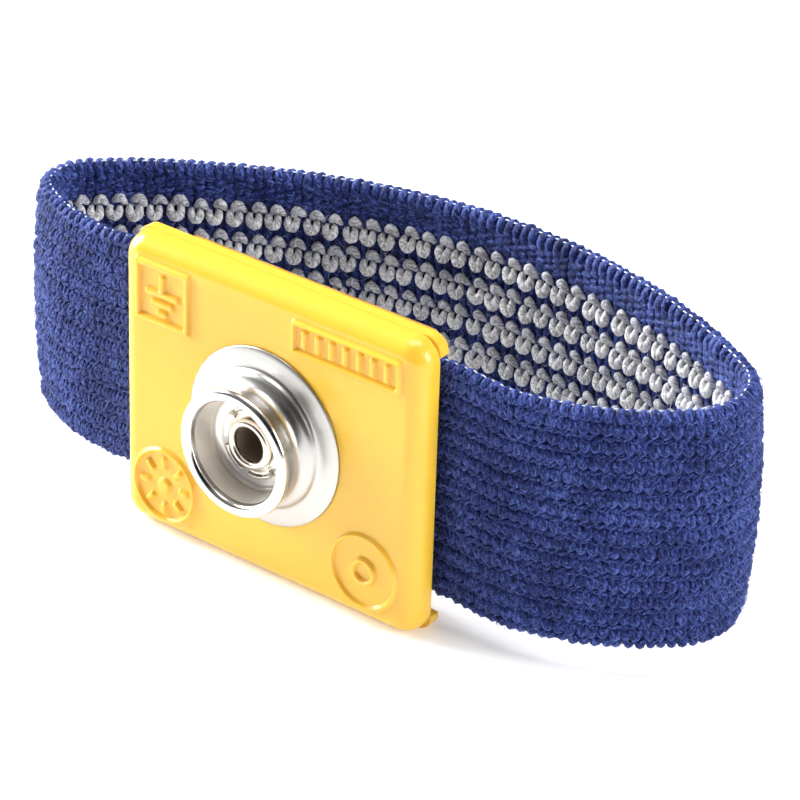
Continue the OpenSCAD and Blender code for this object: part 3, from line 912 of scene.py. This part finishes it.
def front_cover():
    """The cover: a finely divided face carries the marks, strips and corner fans carry the rounded edge."""
    cx, cz = COVER_W / 2 - CORNER, COVER_H / 2 - CORNER
    # The marks lie where a fine span along x crosses one along z.
    xs = face_lines(cx, [(-cx, -6.4), (2.3, cx - 0.05)])
    zs = face_lines(cz, [(-cz, -4.4), (5.3, cz - 0.05)])
    gx, gz = np.meshgrid(xs, zs, indexing="ij")
    nx, nz = gx.shape
    verts = np.stack([gx, -mark_height(gx, gz), gz], -1).reshape(-1, 3)
    i, j = grid(nx - 1, nz - 1)
    quads = np.stack([i * nz + j, i * nz + j + 1, (i + 1) * nz + j + 1, (i + 1) * nz + j], -1)
    mid = verts[quads].mean(1)
    quads = quads[np.hypot(mid[:, 0], mid[:, 2]) > HOLE_R - 0.03]

    # The face's outline, clockwise from the upper left corner, and the way outwards at each point.
    sides = (
        [(x, cz) for x in xs], [(cx, z) for z in zs[::-1]],
        [(x, -cz) for x in xs[::-1]], [(-cx, z) for z in zs],
    )
    ways = [(0, 1)] + [(math.sin(a), math.cos(a)) for a in np.radians(np.linspace(0, 90, 14))[1:-1]]
    edge = []
    for side, corner in zip(sides, ((cx, cz), (cx, -cz), (-cx, -cz), (-cx, cz))):
        edge += [(*p, *ways[0]) for p in side] + [(*corner, *way) for way in ways[1:]]
        ways = [(v, -u) for u, v in ways]
    edge = np.array(edge)

    # The edge's section: how far outwards, and how deep.
    profile = [(e, 0.0) for e in np.arange(0, 0.41, 0.08)] + arc(0.4, 1.5, 1.5, -90, 0, 22)[1:]
    profile += [(1.9, 1.6), (1.9, 2.04), (1.89, 2.08), (1.86, 2.1), (1.7, 2.1), (0.9, 2.1), (0.76, 2.08)]
    profile += [(0.7, 2.0), (0.7, 1.35), (0.65, 1.22), (0.55, 1.2)]
    rings = []
    for e, y in profile:
        x, z = edge[:, 0] + edge[:, 2] * e, edge[:, 1] + edge[:, 3] * e
        rings.append(np.stack([x, y - mark_height(x, z) * (y < 0.6), z], 1))
    n0, n = len(verts), len(edge)
    verts = np.concatenate([verts] + rings)
    i, j = grid(len(rings) - 1, n)
    a, b, j2 = n0 + i * n, n0 + (i + 1) * n, (j + 1) % n
    quads = np.concatenate([quads, np.stack([a + j, a + j2, b + j2, b + j], -1)])
    ob = make_object("front_cover_shell", row(verts), quads, None, None, YELLOW)

    # Join the parts, round off the hole, draw its wall back and close the cover behind.
    bm = bmesh.new()
    bm.from_mesh(ob.data)
    bmesh.ops.remove_doubles(bm, verts=bm.verts, dist=2e-7)
    bmesh.ops.delete(bm, geom=[v for v in bm.verts if not v.link_faces], context="VERTS")
    centre = row((0, 0, 0))

    def in_hole(v):
        return max(abs(v.co.x - centre[0]), abs(v.co.z - centre[2])) < 3 * MM

    rim = [e for e in bm.edges if e.is_boundary and in_hole(e.verts[0])]
    for v in {v for e in rim for v in e.verts}:
        dx, dz = v.co.x - centre[0], v.co.z - centre[2]
        f = HOLE_R * MM / math.hypot(dx, dz)
        v.co.x, v.co.z = centre[0] + dx * f, centre[2] + dz * f
    wall = bmesh.ops.extrude_edge_only(bm, edges=rim)["geom"]
    for v in (g for g in wall if isinstance(g, bmesh.types.BMVert)):
        v.co.y = ORIGIN[1] + 1.2 * MM
    bmesh.ops.triangle_fill(bm, use_beauty=True, edges=[e for e in bm.edges if e.is_boundary])
    bmesh.ops.recalc_face_normals(bm, faces=bm.faces)
    for f in bm.faces:
        f.smooth = True
    bm.to_mesh(ob.data)
    bm.free()
    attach(ob, "buckle")
    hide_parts("front_cover")


def rail_outline(w, h, r, side, z0):
    """The part of a rounded rectangle beyond z0, above or below, with its two inner corners eased."""
    c = (w / 2 - r, h / 2 - r)
    right = [(w / 2 - 0.3, z0), (w / 2 - 0.09, z0 + 0.09), (w / 2, z0 + 0.3)] if c[1] > z0 + 0.3 else []
    low = 0 if right else math.degrees(math.asin((z0 - c[1]) / r))
    right += arc(*c, r, low, 90, 12)
    pts = right + [(x, h / 2) for x in np.arange(c[0] - 1, -c[0], -1.0)] + [(-x, z) for x, z in right[::-1]]
    pts += [(x, z0) for x in np.arange(-c[0], c[0] + 0.01, 1.0)]
    pts = np.array(pts)
    return pts if side > 0 else (pts * (1, -1))[::-1]


def rear_cover():
    """Upper and lower rails with ears and a step, a web with the rivet's hub, and six posts in the band."""
    shells = []
    for side in (1, -1):
        shells.append(slab(rail_outline(COVER_W, COVER_H, 1.2, side, 10.5), eased(2.11, 3.12, 0.03, 0.2)))
        shells.append(slab(rail_outline(24, 20.8, 0.6, side, 9.9), eased(2.65, 5.3, 0.05, 0.6)))
    web = rounded_rect(25.7, 21.3, 1.2)
    rings = [level(inset(web, d), y) for y, d in ((1.22, 0.1), (1.32, 0.0), (2.7, 0.0), (2.8, 0.1))]
    hub = ((3.5, 2.8), (3.5, 3.85), (3.4, 3.95), (HOLE_R, 3.95), (HOLE_R, 1.22))  # radius, depth
    rings += [level(r * unit(web), y) for r, y in hub]
    shells.append(ring_mesh(rings, True))
    for x in (-9.2, 9.2):
        for z in (-6.8, 0, 6.8):
            post = [circle(r, y, 20) + (x, 0, z) for r, y in ((0.6, 2.7), (0.6, 4.6), (0.48, 4.72))]
            shells.append(ring_mesh(post, False))
    solid("rear_cover_shell", shells, YELLOW_REAR, "rear_cover")


def snap_stud():
    """Flange, flared neck, rolled rim and deep cup, as (radius, height)."""
    rise = [
        (6.2, 0.36), (5.85, 0.41), (5.58, 0.47), (5.42, 0.56), (5.34, 0.68), (5.25, 0.83), (5.08, 0.99),
        (4.85, 1.13), (4.63, 1.31), (4.49, 1.56), (4.43, 1.86), (4.46, 2.16), (4.56, 2.46), (4.7, 2.76),
        (4.86, 3.05), (4.98, 3.28),
    ]
    outer = [(1.76, 0.0), (6.95, 0.0), (7.02, 0.04), (7.05, 0.1), (7.03, 0.17), (6.96, 0.21), (6.6, 0.28)]
    outer += [tuple(p) for p in resample(np.array(rise), 60)]
    outer += arc(STUD_R - 0.4, STUD_H - 0.4, 0.4, 0, 90, 14)
    outer += arc(STUD_R - 0.62, STUD_H - 0.38, 0.38, 90, 166, 12)
    outer += [(3.99, 3.15), (3.95, 2.85), (3.89, 2.5), (3.83, 2.1), (3.77, 1.75)]
    outer += arc(3.26, 1.5, 0.5, 15, -90, 14) + [(3.0, 1.0), (2.2, 1.0), (1.76, 1.0)]
    ob = solid("snap_stud_turned", [turned(outer)], NICKEL, "snap_stud")
    # The rim and the cup take lighter copies of the plating: painted light.
    repaint(ob, NICKEL_RIM_GLOSS_AND_LIGHT, lambda r, y: r > 3.95 and y < -3.2)
    repaint(ob, NICKEL_CUP, lambda r, y: r < 4.0 and -3.2 < y < -1.0)


def star_washer():
    """The lock washer's rim stands up in petals with six cuts between them."""
    n = 288
    a = TAU * np.arange(n) / n
    pitch = 360 / PETALS
    off = np.abs((np.degrees(a) - FIRST_CUT + pitch / 2) % pitch - pitch / 2) * np.pi / 180 * CUT_R
    cut = np.clip((0.3 - off) / 0.07, 0, 1)
    section = [
        (1.76, 1.03), (2.3, 1.03), (2.84, 1.03), (2.86, 1.1), (2.84, 1.36), (2.76, 1.43), (2.62, 1.42),
        (2.52, 1.3), (2.4, 1.26), (2.2, 1.3), (1.9, 1.32), (1.76, 1.3),
    ]
    rings = []
    for rad, h in section:
        r = np.minimum(rad, 2.32 + (rad - 2.32) * (1 - cut)) if rad > 2.32 else rad * np.ones(n)
        h = h - (h - 1.05) * cut * (rad > 2.35) * 0.8
        rings.append(np.stack([r * np.cos(a), -h, r * np.sin(a)], 1))
    solid("star_washer_ring", [ring_mesh(rings, True)], NICKEL_WARM, "star_washer")


def hollow_rivet():
    """A tube with a rolled head in the stud's cup and a flat tail in the plate's dish."""
    profile = [(BORE_R, -4.6), (BORE_R, 0.0), (BORE_R, 1.6)] + arc(BORE_R + 0.3, 1.69, 0.3, 180, 90, 8)
    profile += arc(BORE_R + 0.31, 1.67, 0.32, 88, -40, 12)
    profile += [(BORE_R + 0.5, 1.38), (1.78, 1.36), (SHANK_R, 1.36), (SHANK_R, -4.36)]
    profile += [(2.9, -4.38), (3.0, -4.46), (2.98, -4.56), (2.86, -4.66), (1.7, -4.7), (1.42, -4.68)]
    ob = solid("hollow_rivet_turned", [turned(profile, 96)], NICKEL_WARM, "hollow_rivet")
    repaint(ob, BORE, lambda r, y: r < BORE_R + 0.01 and -1.5 < y < 4.6)


def repaint(ob, material, where):
    """Another material on the faces of a turned piece picked by radius and depth in buckle millimetres."""
    ob.data.materials.append(material)
    for face in ob.data.polygons:
        x, y, z = (np.array(face.center) - ORIGIN) / MM
        if where(math.hypot(x, z), y):
            face.material_index = len(ob.data.materials) - 1


def skin_plate():
    """A flat plate with rounded edges and a pressed dish for the rivet's tail."""
    rect = rounded_rect(PLATE_W, PLATE_H, 1.0, step=0.8)
    y0, y1 = PLATE_Y
    # The edge as (depth, inset), then the dish as (radius, depth).
    edge = [(y0, 0.12), (y0 + 0.04, 0.04), (y0 + 0.12, 0.0)]
    edge += [(y1 - 0.14, 0.0), (y1 - 0.05, 0.04), (y1, 0.14), (y1, 0.24)]
    dish = [(4.9, y1), (4.66, y1)]
    dish += [(4.3 + 0.36 * math.cos(a), y1 - 0.36 * (1 - math.sin(a))) for a in np.linspace(1.4, 0.3, 6)]
    dish += [(3.98, 4.62), (3.8, 4.42), (3.62, 4.36), (3.4, 4.35), (HOLE_R, 4.35), (HOLE_R, 3.96)]
    dish += [(3.5, 3.96), (3.9, 3.98), (4.1, 4.1), (4.28, 4.4), (4.42, 4.7), (4.6, y0)]
    rings = [level(inset(rect, d), y) for y, d in edge] + [level(r * unit(rect), y) for r, y in dish]
    solid("skin_plate_pressed", [ring_mesh(rings, True)], STEEL, "skin_plate")


def carried_over():
    """The band's two ends inside the buckle stay as CAD solids with the knit's own materials: the ground's
    dark navy, painted shade, and the silver yarn.
    """
    for name, mat in (("band_end", GROUND), ("yarn_end", SILVER)):
        for side in ("left", "right"):
            for slot in bpy.data.objects[name + "_" + side].material_slots:
                slot.material = mat


knit()
front_cover()
rear_cover()
snap_stud()
star_washer()
hollow_rivet()
skin_plate()
carried_over()

# ---------------------------------------------------------------- stage and light

FLOOR_HALF, FLOOR_POINTS, FLOOR_GAP = 1.5, 24, 0.00002
SKY_STRENGTH = 0.325
# Area lamps: place from the aim point in metres, size in metres, power in watts.
LAMPS = {
    "key": ((-0.77, -0.1, 0.3), (0.55, 0.6), 20.0),
    "fill": ((0.68, 0.12, 0.3), (0.4, 0.45), 5.2),
    "top": ((-0.05, 0.05, 0.62), (0.5, 0.3), 2.8),
}


def stage():
    n = FLOOR_POINTS
    x, y = np.meshgrid(*[np.linspace(-FLOOR_HALF, FLOOR_HALF, n)] * 2, indexing="ij")
    verts = np.stack([x, y, np.full_like(x, _lo[2] - FLOOR_GAP)], -1).reshape(-1, 3)
    i, j = grid(n - 1, n - 1)
    quads = np.stack([i * n + j, (i + 1) * n + j, (i + 1) * n + j + 1, i * n + j + 1], -1)
    mat, nt, bsdf = nodes_of("pale_floor", {
        "Roughness": 0.6,
        "Specular IOR Level": 0.15,
        "Emission Color": (1, 1, 1, 1),
        "Emission Strength": 0.22,
    })
    pale = ramp(nt, object_noise(nt, 60, 2.0), [(0.3, (0.9,) * 3), (0.7, (0.93,) * 3)])
    nt.links.new(pale, bsdf.inputs["Base Color"])
    make_object("floor", verts, quads, None, None, mat)


def lamp(name, aim, offset, size, power):
    data = bpy.data.lights.new(name, "AREA")
    data.shape = "RECTANGLE"
    data.size, data.size_y = size
    data.energy = power
    back = unit(np.array(offset))
    side = unit(np.cross(-back, (0, 0, 1)))
    linked(name, data).matrix_world = aimed(side, np.cross(side, -back), back, aim + offset)


def studio():
    """A pale sky, a dark card up in front on the right that the metal reflects, and three soft lamps."""
    world = bpy.data.worlds.new("studio")
    bpy.context.scene.world = world
    world.use_nodes = True
    nt = world.node_tree
    nt.nodes.clear()
    out = nt.nodes.new("ShaderNodeOutputWorld")
    sky = nt.nodes.new("ShaderNodeBackground")
    way = nt.nodes.new("ShaderNodeTexCoord").outputs["Generated"]
    split = nt.nodes.new("ShaderNodeSeparateXYZ")
    nt.links.new(way, split.inputs[0])
    shade = ramp(nt, split.outputs[2], [
        (0.0, (0.03, 0.03, 0.035)), (0.2, (0.12, 0.12, 0.13)), (0.5, (0.8, 0.8, 0.81)), (0.9, (1.1,) * 3),
    ])
    card = calc(nt, "ShaderNodeVectorMath", "DOT_PRODUCT", way, (0.5, -0.7, 0.51))
    dark = ramp(nt, card, [(0.8, (1, 1, 1)), (0.9, (0.06, 0.065, 0.09))])
    nt.links.new(calc(nt, "ShaderNodeVectorMath", "MULTIPLY", shade, dark), sky.inputs[0])
    sky.inputs[1].default_value = SKY_STRENGTH
    nt.links.new(sky.outputs[0], out.inputs[0])
    for name, (offset, size, power) in LAMPS.items():
        lamp(name, row((2, 10, 0)), offset, size, power)
    bpy.context.scene.view_settings.view_transform = "Standard"


stage()
studio()
